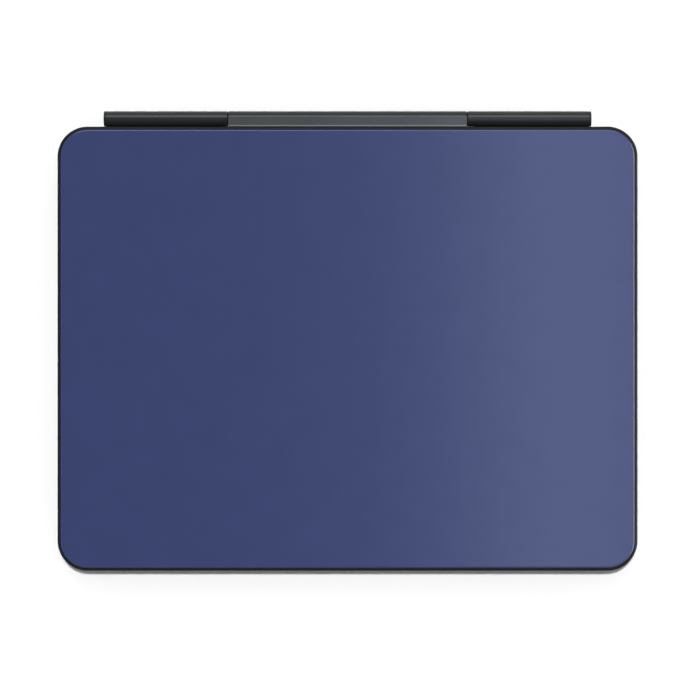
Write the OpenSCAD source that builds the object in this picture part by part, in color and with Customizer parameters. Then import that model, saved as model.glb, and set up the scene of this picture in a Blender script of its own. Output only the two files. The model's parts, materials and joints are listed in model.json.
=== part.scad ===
// Tablet keyboard case: a slim keyboard base and a folding cover joined by a round friction hinge.
// Millimetres. X runs to the user's right, Y to the hinge at the rear and Z up. The case is closed
// on its tablet, and the origin is at the middle of its footprint, on the underside.

/* [Body] */
// Width of the case from side to side
body_w = 282; // [235:1:340]
// Depth of the case from its front edge to its rear edge, without the hinge
body_d = 216; // [180:1:260]
// Radius of the four outline corners
corner_r = 14.6; // [6:0.2:20]
// Width of the dark rim around each coloured sheet
rim_w = 1.5; // [1.2:0.1:3]
// Height that each coloured sheet stands proud of its rim
sheet_proud = 0.25; // [0.1:0.05:0.4]
// Thickness of the coloured outer sheets
sheet_t = 0.6; // [0.5:0.05:1]

/* [Tablet] */
// Thickness of the tablet that the case closes on
tablet_t = 5.1; // [4.2:0.1:7]
// Free height above the tablet when the case is closed
tablet_gap = 0.3; // [0.2:0.1:1]

/* [Base] */
// Thickness of the tray's floor
floor_t = 0.9; // [0.7:0.1:1.5]
// Space for flat cables between the floor and the key support plate
cable_gap = 0.2; // [0.2:0.05:0.5]
// Thickness of the steel key support plate
support_t = 0.4; // [0.3:0.05:0.8]
// Thickness of the switch membrane, and of the rubber sheet that lies on it
membrane_t = 0.2; // [0.15:0.05:0.4]
// Height of the rubber domes, pressed flat
dome_h = 0.7; // [0.5:0.05:1]
// Thickness of the deck plate around the keys
deck_t = 1; // [0.8:0.1:1.4]
// Width of the ledge inside the tray's wall that carries the deck
ledge_w = 1.5; // [1:0.1:3]
// Height of the tray's lip above the key tops
lip_over_keys = 0.4; // [0.3:0.05:0.8]

/* [Keys] */
// Free margin between the case's side and the key field
side_margin = 6.15; // [5:0.05:10]
// Free margin between the case's rear edge and the key field
rear_margin = 14; // [13.5:0.1:18]
// Front-to-back pitch of the half-height function row
function_pitch = 10.4; // [9:0.1:14]
// Gap between neighbouring key caps
key_gap = 2.6; // [2:0.1:4]
// Gap between the two stacked arrow keys
arrow_gap = 1.4; // [1.2:0.1:2]
// Corner radius of a key cap
key_r = 1.6; // [0.8:0.1:2.5]
// Thickness of a key cap
cap_t = 1.55; // [1.2:0.05:2]
// Travel of a key
key_travel = 1; // [0.8:0.1:1.5]
// Clearance around a key cap and around the trackpad in the deck
opening_clearance = 0.35; // [0.3:0.05:0.5]
// Height of the key tops above the deck
key_stand = 0.6; // [0.3:0.05:0.9]

/* [Trackpad] */
// Width of the trackpad
pad_w = 118; // [90:1:150]
// Gap between the key field and the trackpad
pad_gap = 6; // [4:0.5:10]
// Free margin in front of the trackpad
pad_front = 12.6; // [10:0.1:16]
// Thickness of the trackpad's glass
pad_glass_t = 0.8; // [0.6:0.1:1]
// Thickness of the circuit board under the glass
pad_board_t = 0.8; // [0.6:0.1:1]
// Travel of the trackpad's click
pad_travel = 0.3; // [0.2:0.05:0.4]

/* [Cover] */
// Total thickness of the cover
cover_t = 3.4; // [3.2:0.1:5]
// Thickness of the soft inner lining
lining_t = 0.4; // [0.3:0.05:0.6]
// Depth of the lower cover panel, from the rear edge to the fold
lower_panel_d = 72; // [55:1:90]
// Gap between the two cover panels at the fold
fold_gap = 0.3; // [0.2:0.05:0.6]
// Width of a holding magnet
magnet_w = 12; // [8:1:16]
// Depth of a holding magnet
magnet_d = 7; // [5:0.5:9]
// Distance between the centres of neighbouring magnets
magnet_pitch = 20; // [18:1:30]
// Distance from an upper panel edge to the nearest row of magnets
magnet_inset = 28; // [24:1:34]

/* [Contacts] */
// Length of the contact block along X
contact_w = 22; // [20:1:26]
// Depth of the contact block
contact_d = 7; // [6:0.5:9]
// Distance from the fold to the middle of the contact block
contact_inset = 12; // [10:1:14]
// Radius of a contact pin
pin_r = 0.8; // [0.6:0.05:1]
// Distance between the contact pins
pin_pitch = 5.5; // [4:0.5:7]
// Height that a contact pin stands out of the lining
pin_stand = 0.25; // [0.2:0.01:0.28]

/* [Hinge] */
// Outer diameter of the hinge tubes
tube_d = 7.4; // [6.2:0.1:8.8]
// Wall thickness of the hinge tubes
tube_wall = 0.6; // [0.5:0.05:0.8]
// Gap between the case's rear edge and the hinge tubes
tube_gap = 0.4; // [0.3:0.1:1]
// Distance from the case's side to the outer end of the hinge
hinge_inset = 22.25; // [18:0.25:26]
// Length of the middle hinge tube
centre_w = 116; // [96:1:139]
// Gap between the middle tube and each outer barrel
seam = 0.5; // [0.4:0.05:0.8]
// Radius of the steel hinge shafts
shaft_r = 1.5; // [1.2:0.1:1.8]
// Radial clearance of a shaft in its bush and its friction clips
running_gap = 0.05; // [0.02:0.01:0.1]
// Radial clearance of pieces that are pressed or screwed into one another
press_gap = 0.01; // [0.005:0.005:0.02]
// Depth of the flat hinge plate behind the cover's rear edge
plate_d = 5.1; // [4.5:0.1:6]
// Distance of the hinge plate's top below the cover's top
plate_drop = 0.7; // [0.5:0.1:0.9]
// Thickness of the tongue that joins the hinge plate to the cover
tongue_t = 1.2; // [0.9:0.1:1.3]
// Length of that tongue inside the cover
tongue_d = 12; // [10:0.5:16]

/* [Hidden] */

// Segments in a quarter circle of the outline corners and of the key corners
corner_segments = 14;
key_segments = 3;
// Distance that a cut runs past the face it opens
past = 1;

// Footprint: the hinge counts in it, so the case itself lies a little to the front
hinge_out = tube_gap + tube_d;
side_x = body_w / 2;
rear_y = (body_d - hinge_out) / 2;
front_y = rear_y - body_d;

// Heights in the base, from the underside up
floor_z = sheet_t + floor_t;
support_z = floor_z + cable_gap;
membrane_z = support_z + support_t;
rubber_z = membrane_z + membrane_t;
dome_z = rubber_z + membrane_t;
dome_top_z = dome_z + dome_h;
press_room = 0.25;
cap_z = dome_top_z + press_room + key_travel;
key_top_z = cap_z + cap_t;
deck_top_z = key_top_z - key_stand;
deck_z = deck_top_z - deck_t;
lip_z = key_top_z + lip_over_keys;

// Heights in the cover
cover_z = lip_z + tablet_t + tablet_gap;
cover_top_z = cover_z + cover_t;
core_z = cover_z + lining_t;
core_top_z = cover_top_z - sheet_t;
rim_step = 0.15;
rim_z = cover_z + rim_step;
rim_top_z = cover_top_z - sheet_proud;
fold_y = rear_y - lower_panel_d;
lower_start_y = fold_y + fold_gap / 2;
upper_end_y = fold_y - fold_gap / 2;

// Hinge: one axis behind the rear edge, at the middle of the tablet's thickness
hinge_y = rear_y + tube_gap + tube_d / 2;
hinge_z = lip_z + tablet_t / 2;
tube_r = tube_d / 2;
bore_r = tube_r - tube_wall;
hinge_end_x = side_x - hinge_inset;
barrel_x = centre_w / 2 + seam;
cap_flange = 0.8;
cap_plug = 3;
hub_w = 10;
bush_x = barrel_x + 4;
bush_w = 6;
clip_count = 4;
clip_w = 2;
clip_pitch = 2.5;
first_clip_x = bush_x + bush_w + 0.5;
shaft_end_x = first_clip_x + clip_count * clip_pitch + 3;
retainer_w = 1;
retainer_r = shaft_r + 0.9;

// The barrel's foot, which runs through the tray's rear wall and is screwed to its floor
foot_inset = 3.5;
foot_end_inset = 0.3;
foot_d = 9;
foot_t = 2.1;
foot_x = barrel_x + foot_inset;
foot_end_x = hinge_end_x - cap_flange - foot_end_inset;
foot_window_gap = 0.1;
foot_screw_y = rear_y - rim_w - ledge_w - 3;
foot_screw_count = 3;

// Hinge plate and its tongue
plate_top_z = cover_top_z - plate_drop;
plate_gap = 0.2;
tongue_top_z = plate_top_z - 0.3;
tongue_z = tongue_top_z - tongue_t;
saddle_d = 1;
rivet_r = 1.5;
rivet_count = 5;
rivet_y = rear_y - tongue_d / 2 - 1;

// Key field
field_units = 14.5;
key_pitch = (body_w - 2 * side_margin) / field_units;
field_x = side_x - side_margin;
field_rear_y = rear_y - rear_margin;
field_front_y = field_rear_y - function_pitch - 5 * key_pitch;
function_keys = 14;
ROWS = [
    [for (i = [1:function_keys]) field_units / function_keys],
    [1, 1, 1, 1, 1, 1, 1, 1, 1, 1, 1, 1, 1, 1.5],
    [1.5, 1, 1, 1, 1, 1, 1, 1, 1, 1, 1, 1, 1, 1],
    [1.75, 1, 1, 1, 1, 1, 1, 1, 1, 1, 1, 1, 1.75],
    [2.25, 1, 1, 1, 1, 1, 1, 1, 1, 1, 1, 2.25],
    [1, 1, 1, 1.25, 5, 1.25, 1]
];
SPACE = 4;
WIDE_KEYS = [[1, 13], [2, 0], [3, 0], [3, 12], [4, 0], [4, 11], [5, SPACE]];
arrows_x = field_x - 3 * key_pitch;

// Scissor links, domes and stabiliser wires under the caps
link_side = 8;
link_bar = 1;
link_margin = 0.9;
dome_r = 2.2;
small_dome_r = 1.6;
wire_r = 0.3;
wire_leg = 3;
wire_inset = 3;

// Trackpad
pad_rear_y = field_front_y - pad_gap;
pad_front_y = front_y + pad_front;
pad_r = 4;
pad_glass_z = deck_top_z - pad_glass_t;
pad_board_z = pad_glass_z - pad_board_t;
pad_board_inset = 1;
pad_frame_t = 0.8;
pad_frame_bar = 6;
switch_r = 3;
switch_gap = 0.2;

// Fasteners of the support plate and of the main board
screw_r = 0.9;
screw_head_r = 1.7;
screw_head_h = 0.6;
screw_bite = 0.6;
screw_room = 0.4;
plate_pad_r = 4;
PLATE_SCREWS = [
    for (x = [-field_x + 15, -field_x / 3, field_x / 3, field_x - 15])
        for (row = [2, 5]) [x, row_rear_y(row)]
];

// Main board and the flat cables that leave it
board_x = centre_w / 2 - 6;
board_front_y = rear_y - 12.5;
board_rear_y = rear_y - 4;
board_z = membrane_z;
board_t = 1;
board_screw_inset = 5;
ribbon_x = 20;
ribbon_w = 14;
pad_ribbon_w = 10;
flex_t = 0.2;
flex_w = 2;
flex_x = barrel_x + 1.5;

// The cable that climbs from the middle tube to the contact block
cover_flex_x = -14;
cover_flex_w = 6;
cover_flex_t = 0.3;
cover_flex_room = 0.2;
cover_flex_y = hinge_y - 1.5;

// Upper panel: magnets and contacts
magnet_rows = [upper_end_y - magnet_inset, front_y + magnet_inset];
magnet_half_count = floor((side_x - rim_w - magnet_inset) / magnet_pitch);
magnet_strip_x = magnet_half_count * magnet_pitch + magnet_w / 2 + 1;
magnet_strip_d = magnet_d + 1;
shunt_t = 0.4;
magnet_room = 0.05;
pocket_top_z = core_top_z - 0.5;
contact_y = upper_end_y - contact_inset;
contact_t = 1.4;
contact_room = 0.05;
contact_top_z = cover_z + contact_t;
pin_top_z = contact_top_z - 0.35;
pin_flange_t = 0.3;

function row_rear_y(row) =
    row == 0 ? field_rear_y : field_rear_y - function_pitch - (row - 1) * key_pitch;
function row_front_y(row) = row_rear_y(row + 1);
function units_before(row, i) = i == 0 ? 0 : ROWS[row][i - 1] + units_before(row, i - 1);
function key_x(row, i) = -field_x + units_before(row, i) * key_pitch;
function last_key(row) = len(ROWS[row]) - 1;
function key_middle(row, i) = [
    (key_x(row, i) + key_x(row, i + 1)) / 2,
    (row_rear_y(row) + row_front_y(row)) / 2
];

function corner_points(x, y, r, from, count) =
    r > 0
    ? [for (i = [0:count]) [x + r * cos(from + 90 * i / count), y + r * sin(from + 90 * i / count)]]
    : [[x, y]];

// Outline of a rectangle whose two front corners and two rear corners have their own radii
function outline(x0, y0, x1, y1, front_r, rear_r, count) = concat(
    corner_points(x1 - front_r, y0 + front_r, front_r, -90, count),
    corner_points(x1 - rear_r, y1 - rear_r, rear_r, 0, count),
    corner_points(x0 + rear_r, y1 - rear_r, rear_r, 90, count),
    corner_points(x0 + front_r, y0 + front_r, front_r, 180, count)
);

module slab(points, z0, z1) {
    translate([0, 0, z0])
        linear_extrude(z1 - z0)
            polygon(points);
}

module box(x0, x1, y0, y1, z0, z1) {
    translate([x0, y0, z0])
        cube([x1 - x0, y1 - y0, z1 - z0]);
}

// The case's outline, moved inwards by an inset
module body_slab(inset, z0, z1) {
    r = corner_r - inset;
    slab(outline(-side_x + inset, front_y + inset, side_x - inset, rear_y - inset, r, r,
        corner_segments), z0, z1);
}

module lower_slab(inset, front_past, z0, z1) {
    slab(outline(-side_x + inset, lower_start_y - front_past, side_x - inset, rear_y - inset,
        0, corner_r - inset, corner_segments), z0, z1);
}

module upper_slab(inset, rear_past, z0, z1) {
    slab(outline(-side_x + inset, front_y + inset, side_x - inset, upper_end_y + rear_past,
        corner_r - inset, 0, corner_segments), z0, z1);
}

module rod(x0, x1, r) {
    translate([x0, hinge_y, hinge_z])
        rotate([0, 90, 0])
            cylinder(h = x1 - x0, r = r, $fn = 64);
}

module post(x, y, r, z0, z1) {
    translate([x, y, z0])
        cylinder(h = z1 - z0, r = r, $fn = 32);
}

// A piece on the right and its mirror image on the left
module both_sides() {
    children();
    mirror([1, 0, 0])
        children();
}

// Blocks the size of the caps of one row, made larger all round by grow
module key_blocks(row, first, last, grow, z0, z1) {
    for (i = [first:last])
        slab(outline(key_x(row, i) + key_gap / 2 - grow, row_front_y(row) + key_gap / 2 - grow,
            key_x(row, i + 1) - key_gap / 2 + grow, row_rear_y(row) - key_gap / 2 + grow,
            key_r + grow, key_r + grow, key_segments), z0, z1);
}

// One arrow key in a column of the last row, in its rear or its front half
module arrow_block(column, rear_half, grow, z0, z1) {
    middle_y = (row_rear_y(5) + row_front_y(5)) / 2;
    y0 = rear_half ? middle_y + arrow_gap / 2 : row_front_y(5) + key_gap / 2;
    y1 = rear_half ? row_rear_y(5) - key_gap / 2 : middle_y - arrow_gap / 2;
    x0 = arrows_x + column * key_pitch + key_gap / 2;
    x1 = x0 + key_pitch - key_gap;
    slab(outline(x0 - grow, y0 - grow, x1 + grow, y1 + grow, key_r + grow, key_r + grow,
        key_segments), z0, z1);
}

module arrow_blocks(grow, z0, z1) {
    arrow_block(0, false, grow, z0, z1);
    arrow_block(1, false, grow, z0, z1);
    arrow_block(2, false, grow, z0, z1);
    arrow_block(1, true, grow, z0, z1);
}

module caps(row, first, last) {
    color("#22242a") key_blocks(row, first, last, 0, cap_z, key_top_z);
}

// Places its children at the middle of every arrow key
module at_arrows() {
    half_d = (key_pitch - key_gap - arrow_gap) / 2;
    for (spot = [[0, -1], [1, -1], [2, -1], [1, 1]])
        translate([
            arrows_x + (spot[0] + 0.5) * key_pitch,
            (row_rear_y(5) + row_front_y(5)) / 2 + spot[1] * (half_d + arrow_gap) / 2,
            0
        ])
            children();
}

// Places its children at the middle of every full-height key
module at_full_keys() {
    for (row = [1:5])
        for (i = [0:last_key(row)])
            translate(key_middle(row, i))
                children();
}

module at_function_keys() {
    for (i = [0:last_key(0)])
        translate(key_middle(0, i))
            children();
}

module base_outer_sheet() {
    color("#3f4a72") body_slab(rim_w, 0, sheet_t);
}

module foot_windows() {
    both_sides()
        box(foot_x - foot_window_gap, foot_end_x + foot_window_gap,
            rear_y - rim_w - ledge_w - past, rear_y + past,
            floor_z, floor_z + foot_t + foot_window_gap);
}

module base_tray() {
    color("#25282b") difference() {
        body_slab(0, sheet_proud, lip_z);
        body_slab(rim_w, -past, sheet_t);
        body_slab(rim_w, deck_z, lip_z + past);
        difference() {
            body_slab(rim_w + ledge_w, floor_z, deck_z + past);
            for (spot = PLATE_SCREWS)
                post(spot[0], spot[1], plate_pad_r, floor_z - past, support_z);
            both_sides()
                post(board_x - board_screw_inset, (board_front_y + board_rear_y) / 2,
                    screw_head_r, floor_z - past, board_z);
        }
        for (spot = PLATE_SCREWS)
            post(spot[0], spot[1], screw_r + press_gap, floor_z - screw_bite, support_z + past);
        both_sides()
            post(board_x - board_screw_inset, (board_front_y + board_rear_y) / 2,
                screw_r + press_gap, floor_z - screw_bite, board_z + past);
        at_foot_screws()
            post(0, 0, screw_r + press_gap, floor_z - screw_bite, floor_z + past);
        foot_windows();
        box(-flex_x - flex_w - foot_window_gap, -flex_x + foot_window_gap,
            rear_y - rim_w - ledge_w - past, rear_y + past,
            board_z + board_t - foot_window_gap, board_z + board_t + flex_t + foot_window_gap);
    }
}

module top_deck() {
    color("#2c2f35") difference() {
        body_slab(rim_w, deck_z, deck_top_z);
        for (row = [0:5])
            key_blocks(row, 0, last_key(row), opening_clearance, deck_z - past, deck_top_z + past);
        arrow_blocks(opening_clearance, deck_z - past, deck_top_z + past);
        slab(outline(-pad_w / 2 - opening_clearance, pad_front_y - opening_clearance,
            pad_w / 2 + opening_clearance, pad_rear_y + opening_clearance,
            pad_r + opening_clearance, pad_r + opening_clearance, corner_segments),
            deck_z - past, deck_top_z + past);
    }
}

// A sheet under the whole key field, with clear holes at the plate's screws
module field_sheet(hole_r, z0, z1) {
    difference() {
        box(-field_x, field_x, field_front_y, field_rear_y, z0, z1);
        for (spot = PLATE_SCREWS)
            post(spot[0], spot[1], hole_r, z0 - past, z1 + past);
    }
}

module key_support_plate() {
    color("#8f9296") field_sheet(screw_r + press_gap, support_z, membrane_z);
}

module membrane_sheet() {
    color("#c9d2c4") field_sheet(screw_head_r + screw_room, membrane_z, rubber_z);
}

module dome_sheet() {
    color("#d8d8d2") union() {
        field_sheet(screw_head_r + screw_room, rubber_z, dome_z);
        at_full_keys()
            post(0, 0, dome_r, dome_z - membrane_t / 2, dome_top_z);
        at_function_keys()
            post(0, 0, small_dome_r, dome_z - membrane_t / 2, dome_top_z);
        at_arrows()
            post(0, 0, small_dome_r, dome_z - membrane_t / 2, dome_top_z);
    }
}

// A square frame that stands on the rubber sheet around a dome
module link_frame(depth) {
    difference() {
        box(-link_side / 2, link_side / 2, -depth / 2, depth / 2, dome_z, dome_top_z);
        box(-link_side / 2 + link_bar, link_side / 2 - link_bar, -depth / 2 + link_bar,
            depth / 2 - link_bar, dome_z - past, dome_top_z + past);
    }
}

module scissor_links() {
    half_cap_d = (key_pitch - key_gap - arrow_gap) / 2;
    color("#e6e6e2") {
        at_full_keys()
            link_frame(link_side);
        at_function_keys()
            link_frame(function_pitch - key_gap - link_margin);
        at_arrows()
            link_frame(half_cap_d - link_margin);
    }
}

// A bent wire behind the link frame of a wide key
module stabiliser_wire(length) {
    bar_y = link_side / 2 + link_bar + wire_leg / 2;
    z = dome_z + wire_r;
    translate([-length / 2, bar_y, z])
        rotate([0, 90, 0])
            cylinder(h = length, r = wire_r, $fn = 24);
    for (side = [-1, 1])
        translate([side * (length / 2 - wire_r), bar_y, z])
            rotate([90, 0, 0])
                cylinder(h = wire_leg, r = wire_r, $fn = 24);
}

module stabiliser_wires() {
    color("#b8babd")
        for (wide = WIDE_KEYS)
            translate(key_middle(wide[0], wide[1]))
                stabiliser_wire(ROWS[wide[0]][wide[1]] * key_pitch - key_gap - 2 * wire_inset);
}

module main_board() {
    color("#1f5a3c") difference() {
        box(-board_x, board_x, board_front_y, board_rear_y, board_z, board_z + board_t);
        both_sides()
            post(board_x - board_screw_inset, (board_front_y + board_rear_y) / 2,
                screw_r + press_gap, board_z - past, board_z + board_t + past);
    }
}

module keyboard_ribbon() {
    color("#c07a2c") box(ribbon_x, ribbon_x + ribbon_w, field_rear_y, board_front_y + 3,
        board_z - flex_t, board_z);
}

module trackpad_ribbon() {
    color("#c07a2c") union() {
        box(-pad_ribbon_w / 2, pad_ribbon_w / 2, pad_rear_y - 10, board_front_y + 4,
            floor_z, support_z);
        box(-pad_ribbon_w / 2, pad_ribbon_w / 2, board_front_y + 1, board_front_y + 4,
            floor_z, board_z);
    }
}

module trackpad_frame() {
    color("#9a9da1") difference() {
        box(-pad_w / 2, pad_w / 2, pad_front_y, pad_rear_y - 11, floor_z, floor_z + pad_frame_t);
        box(-pad_w / 2 + pad_frame_bar, pad_w / 2 - pad_frame_bar, pad_front_y + 2 * pad_frame_bar,
            pad_rear_y - 11 - pad_frame_bar, floor_z - past, floor_z + pad_frame_t + past);
    }
}

module trackpad_switch() {
    color("#33363a") post(0, pad_front_y + pad_frame_bar, switch_r,
        floor_z + pad_frame_t, pad_board_z - pad_travel - switch_gap);
}

module screw(x, y, z) {
    post(x, y, screw_head_r, z, z + screw_head_h);
    post(x, y, screw_r, floor_z - screw_bite, z + screw_head_h / 2);
}

module plate_screws() {
    color("#a9acb0")
        for (spot = PLATE_SCREWS)
            screw(spot[0], spot[1], membrane_z);
}

module board_screws() {
    color("#a9acb0") both_sides()
        screw(board_x - board_screw_inset, (board_front_y + board_rear_y) / 2, board_z + board_t);
}

// Places its children at the screws of both barrels' feet
module at_foot_screws() {
    spacing = (foot_end_x - foot_x) / foot_screw_count;
    both_sides()
        for (i = [0:foot_screw_count - 1])
            translate([foot_x + (i + 0.5) * spacing, foot_screw_y, 0])
                children();
}

module hinge_screws() {
    color("#a9acb0") at_foot_screws()
        screw(0, 0, floor_z + foot_t);
}

// Side view of the foot, from the tray's floor up into the tube
module foot_profile() {
    polygon([
        [rear_y - foot_d, floor_z],
        [rear_y + tube_gap, floor_z],
        [hinge_y + tube_r * 0.6, hinge_z - tube_r * 0.8],
        [hinge_y, hinge_z],
        [hinge_y - tube_r * 0.6, hinge_z - tube_r * 0.8],
        [rear_y, floor_z + foot_t],
        [rear_y - foot_d, floor_z + foot_t]
    ]);
}

// An outer barrel with its foot, on the right side
module barrel() {
    difference() {
        union() {
            rod(barrel_x, hinge_end_x - cap_flange, tube_r);
            translate([foot_x, 0, 0])
                rotate([90, 0, 90])
                    linear_extrude(foot_end_x - foot_x)
                        foot_profile();
        }
        rod(barrel_x - past, hinge_end_x + past, bore_r);
        at_foot_screws()
            post(0, 0, screw_r + press_gap, floor_z - past, floor_z + foot_t + past);
    }
}

module barrel_right() {
    color("#3a3d40") barrel();
}

module barrel_left() {
    color("#3a3d40") difference() {
        mirror([1, 0, 0])
            barrel();
        box(-flex_x - flex_w - foot_window_gap, -flex_x + foot_window_gap,
            hinge_y - 2 * flex_t, hinge_y + 2 * flex_t, hinge_z - tube_r - past, hinge_z - shaft_r);
    }
}

module barrel_caps() {
    color("#33363a") both_sides() {
        rod(hinge_end_x - cap_flange, hinge_end_x, tube_r);
        rod(hinge_end_x - cap_flange - cap_plug, hinge_end_x - cap_flange / 2, bore_r - press_gap);
    }
}

module ring(x0, x1, outer_r, inner_r) {
    difference() {
        rod(x0, x1, outer_r);
        rod(x0 - past, x1 + past, inner_r);
    }
}

module seam_washers() {
    gap = seam / 5;
    color("#1c1d1f") both_sides()
        ring(centre_w / 2 + gap, barrel_x - gap, tube_r - 2 * gap, shaft_r + running_gap);
}

module hinge_bushes() {
    color("#b79a5b") both_sides()
        ring(bush_x, bush_x + bush_w, bore_r - press_gap, shaft_r + running_gap);
}

module friction_clips() {
    color("#6d7075") both_sides()
        for (i = [0:clip_count - 1])
            ring(first_clip_x + i * clip_pitch, first_clip_x + i * clip_pitch + clip_w,
                bore_r - press_gap, shaft_r + running_gap);
}

module base_flex_cable() {
    z = board_z + board_t;
    color("#c07a2c") union() {
        box(-flex_x - flex_w, -board_x + 3, rear_y - 9, rear_y - 7, z, z + flex_t);
        box(-flex_x - flex_w, -flex_x, rear_y - 9, hinge_y + flex_t / 2, z, z + flex_t);
        box(-flex_x - flex_w, -flex_x, hinge_y - flex_t / 2, hinge_y + flex_t / 2, z,
            hinge_z - shaft_r - 0.6);
    }
}

module trackpad_glass() {
    color("#30333a") slab(outline(-pad_w / 2, pad_front_y, pad_w / 2, pad_rear_y, pad_r, pad_r,
        corner_segments), pad_glass_z, deck_top_z);
}

module trackpad_board() {
    color("#1f5a3c") slab(outline(-pad_w / 2 + pad_board_inset, pad_front_y + pad_board_inset,
        pad_w / 2 - pad_board_inset, pad_rear_y - pad_board_inset,
        pad_r - pad_board_inset, pad_r - pad_board_inset, corner_segments),
        pad_board_z, pad_glass_z);
}

module keys_function_row() {
    caps(0, 0, last_key(0));
}

module keys_number_row() {
    caps(1, 0, last_key(1) - 1);
}

module key_backspace() {
    caps(1, last_key(1), last_key(1));
}

module key_tab() {
    caps(2, 0, 0);
}

module keys_upper_row() {
    caps(2, 1, last_key(2));
}

module key_caps_lock() {
    caps(3, 0, 0);
}

module keys_home_row() {
    caps(3, 1, last_key(3) - 1);
}

module key_return() {
    caps(3, last_key(3), last_key(3));
}

module key_left_shift() {
    caps(4, 0, 0);
}

module keys_lower_row() {
    caps(4, 1, last_key(4) - 1);
}

module key_right_shift() {
    caps(4, last_key(4), last_key(4));
}

module keys_bottom_row() {
    caps(5, 0, SPACE - 1);
    caps(5, SPACE + 1, last_key(5));
}

module key_space() {
    caps(5, SPACE, SPACE);
}

module keys_arrows() {
    color("#22242a") arrow_blocks(0, cap_z, key_top_z);
}

module hinge_tube() {
    color("#54575a") difference() {
        ring(-centre_w / 2, centre_w / 2, tube_r, bore_r);
        box(cover_flex_x - cover_flex_room, cover_flex_x + cover_flex_w + cover_flex_room,
            cover_flex_y - 1, cover_flex_y + 1, hinge_z, hinge_z + tube_r + past);
    }
}

module hinge_hubs() {
    color("#7c7f83") both_sides()
        ring(centre_w / 2 - hub_w, centre_w / 2, bore_r - press_gap, shaft_r + press_gap);
}

module hinge_shafts() {
    color("#c8cacd") both_sides()
        rod(centre_w / 2 - hub_w - 2, shaft_end_x, shaft_r);
}

module shaft_clips() {
    color("#9b9ea2") both_sides()
        ring(shaft_end_x - 2 * retainer_w, shaft_end_x - retainer_w, retainer_r,
            shaft_r + press_gap);
}

module hinge_plate() {
    color("#77797b") difference() {
        union() {
            box(-centre_w / 2, centre_w / 2, rear_y + plate_gap, rear_y + plate_d,
                hinge_z + tube_r - saddle_d, plate_top_z);
            box(-centre_w / 2, centre_w / 2, rear_y - tongue_d, rear_y + plate_gap + past,
                tongue_z, tongue_top_z);
        }
        rod(-centre_w / 2 - past, centre_w / 2 + past, tube_r + press_gap);
        at_rivets()
            post(0, 0, rivet_r + press_gap, tongue_z - past, tongue_top_z + past);
        flex_channel(rear_y - past, cover_flex_y + 1, hinge_z, core_z + cover_flex_t);
    }
}

// Places its children at the rivets of the tongue
module at_rivets() {
    spacing = centre_w / rivet_count;
    for (i = [0:rivet_count - 1])
        translate([(i + 0.5) * spacing - centre_w / 2, rivet_y, 0])
            children();
}

module plate_rivets() {
    color("#a9acb0") at_rivets()
        post(0, 0, rivet_r, core_z, core_top_z);
}

// Room for the cover's flat cable
module flex_channel(y0, y1, z0, z1) {
    box(cover_flex_x - cover_flex_room, cover_flex_x + cover_flex_w + cover_flex_room,
        y0, y1, z0, z1 + cover_flex_room);
}

// Room for the hinge plate's tongue
module tongue_room() {
    box(-centre_w / 2 - press_gap, centre_w / 2 + press_gap, rear_y - tongue_d - press_gap,
        rear_y + past, tongue_z - press_gap, tongue_top_z + press_gap);
}

module lower_core() {
    color("#4a4d50") difference() {
        lower_slab(rim_w, 0, core_z, core_top_z);
        tongue_room();
        at_rivets()
            post(0, 0, rivet_r + press_gap, core_z - past, core_top_z + past);
        flex_channel(lower_start_y - past, rear_y + past, core_z - past, core_z + cover_flex_t);
    }
}

module lower_rim() {
    color("#25282b") difference() {
        lower_slab(0, 0, rim_z, rim_top_z);
        lower_slab(rim_w, past, rim_z - past, rim_top_z + past);
        tongue_room();
        flex_channel(rear_y - rim_w - past, rear_y + past, core_z, core_z + cover_flex_t);
    }
}

module lower_outer_sheet() {
    color("#3f4a72") lower_slab(rim_w, 0, core_top_z, cover_top_z);
}

module lower_lining() {
    color("#34373c") lower_slab(rim_w, 0, cover_z, core_z);
}

module cover_flex_cable() {
    x0 = cover_flex_x;
    x1 = cover_flex_x + cover_flex_w;
    color("#c07a2c") union() {
        box(x0, x1, lower_start_y, cover_flex_y + cover_flex_t, core_z, core_z + cover_flex_t);
        box(x0, x1, cover_flex_y, cover_flex_y + cover_flex_t, hinge_z + 0.6, core_z + cover_flex_t);
        box(-centre_w / 2 + hub_w + 3, x1, cover_flex_y, cover_flex_y + cover_flex_t,
            hinge_z + 0.6, hinge_z + 1.6);
    }
}

module contact_window(grow, z0, z1) {
    box(-contact_w / 2 - grow, contact_w / 2 + grow, contact_y - contact_d / 2 - grow,
        contact_y + contact_d / 2 + grow, z0, z1);
}

module upper_core() {
    color("#4a4d50") difference() {
        upper_slab(rim_w, 0, core_z, core_top_z);
        for (y = magnet_rows)
            box(-magnet_strip_x, magnet_strip_x, y - magnet_strip_d / 2, y + magnet_strip_d / 2,
                core_z - past, pocket_top_z);
        contact_window(contact_room, core_z - past, contact_top_z + cover_flex_t);
        flex_channel(contact_y, upper_end_y + past, core_z - past, contact_top_z + cover_flex_t);
    }
}

module upper_rim() {
    color("#25282b") difference() {
        upper_slab(0, 0, rim_z, rim_top_z);
        upper_slab(rim_w, past, rim_z - past, rim_top_z + past);
    }
}

module upper_outer_sheet() {
    color("#3f4a72") upper_slab(rim_w, 0, core_top_z, cover_top_z);
}

module upper_lining() {
    color("#34373c") difference() {
        upper_slab(rim_w, 0, cover_z, core_z);
        contact_window(contact_room, cover_z - past, core_z + past);
    }
}

module holding_magnets() {
    color("#b5b8bb")
        for (y = magnet_rows)
            for (i = [-magnet_half_count:magnet_half_count])
                box(i * magnet_pitch - magnet_w / 2, i * magnet_pitch + magnet_w / 2,
                    y - magnet_d / 2, y + magnet_d / 2, core_z, pocket_top_z - shunt_t);
}

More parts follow.
